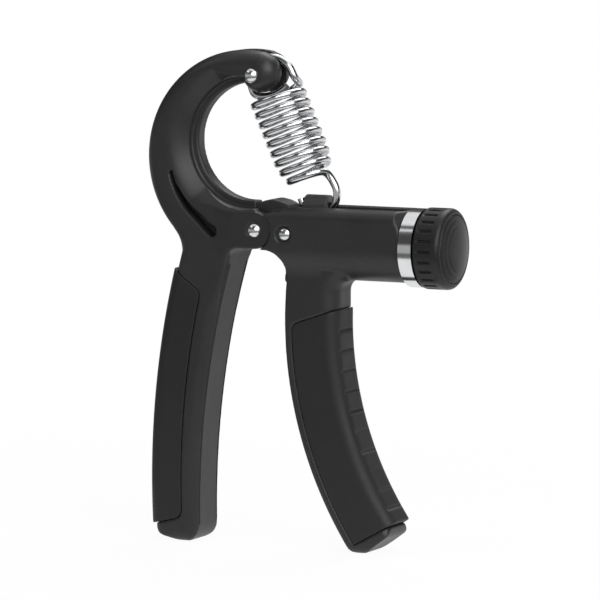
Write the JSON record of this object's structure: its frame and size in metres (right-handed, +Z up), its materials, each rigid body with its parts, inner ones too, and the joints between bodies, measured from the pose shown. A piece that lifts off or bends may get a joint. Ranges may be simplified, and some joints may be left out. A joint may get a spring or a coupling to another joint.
{
  "type": "hand grip strengthener",
  "caption": "Adjustable hand grip strengthener: two curved padded handles on a pivot, a C-shaped arm, an extension spring, and a tube with a resistance knob that moves the spring's lower end.",
  "frame": {"origin": "centre of the bounding box at floor level, under the mid-plane of the handles", "axes": "+X from the arm towards the knob, +Y across the handles to the back, +Z up"},
  "size_m": [0.1034, 0.0248, 0.1527],
  "materials": {
    "handle_nylon": "fine-grained satin moulded nylon, dark grey-black",
    "grip_pad": "matte soft-touch rubber, slightly darker than the handles",
    "bright_pin": "polished nickel-plated steel",
    "bush_brass": "turned brass",
    "bright_collar": "polished chrome",
    "knob_plastic": "satin black moulded plastic",
    "screw_steel": "zinc-plated steel",
    "knob_cap_plastic": "semi-gloss black plastic",
    "slider_plastic": "satin dark grey plastic",
    "spring_steel": "bright nickel-plated spring wire"
  },
  "bodies": {
    "palm_side": {"palm_handle": "handle_nylon", "palm_pad": "grip_pad", "spring_pin": "bright_pin", "pivot_pin": "bright_pin", "pivot_washers": "bush_brass"},
    "finger_side": {"finger_handle": "handle_nylon", "finger_pad": "grip_pad", "pivot_bush": "bush_brass", "retaining_pin": "bright_pin", "screw_bush": "bush_brass", "collar": "bright_collar", "thrust_washer": "bush_brass"},
    "knob_body": {"knob": "knob_plastic", "adjusting_screw": "screw_steel", "knob_screw": "screw_steel", "knob_screw_washer": "screw_steel", "knob_end_cap": "knob_cap_plastic"},
    "slider_body": {"slider_nut": "slider_plastic"},
    "spring_body": {"spring": "spring_steel"}
  },
  "joints": [
    {"name": "squeeze", "type": "hinge", "parent": "palm_side", "child": "finger_side", "pos_m": [-0.0133, 0, 0.0979], "axis": [0, 1, 0], "range_deg": [0, 25], "stiffness_Nm_per_rad": 4.8, "springref_deg": -8.59, "deforming": ["spring"]},
    {"name": "knob_turn", "type": "hinge", "parent": "finger_side", "child": "knob_body", "pos_m": [0.03, 0, 0.094], "axis": [1, 0, 0], "range_deg": [0, 8280]},
    {"name": "slider_travel", "type": "slide", "parent": "finger_side", "child": "slider_body", "axis": [1, 0, 0], "range_m": [0, 0.023]},
    {"name": "spring_swing", "type": "hinge", "parent": "palm_side", "child": "spring_body", "pos_m": [-0.01511, 0, 0.1452], "axis": [0, 1, 0], "range_deg": [-21.5, 0.5], "deforming": ["spring"]}
  ],
  "couplings": [
    {"joint": "slider_travel", "follows": "knob_turn", "m_per_rad": 0.00015915},
    {"joint": "spring_swing", "follows": "knob_turn", "ratio": -0.0025604}
  ]
}
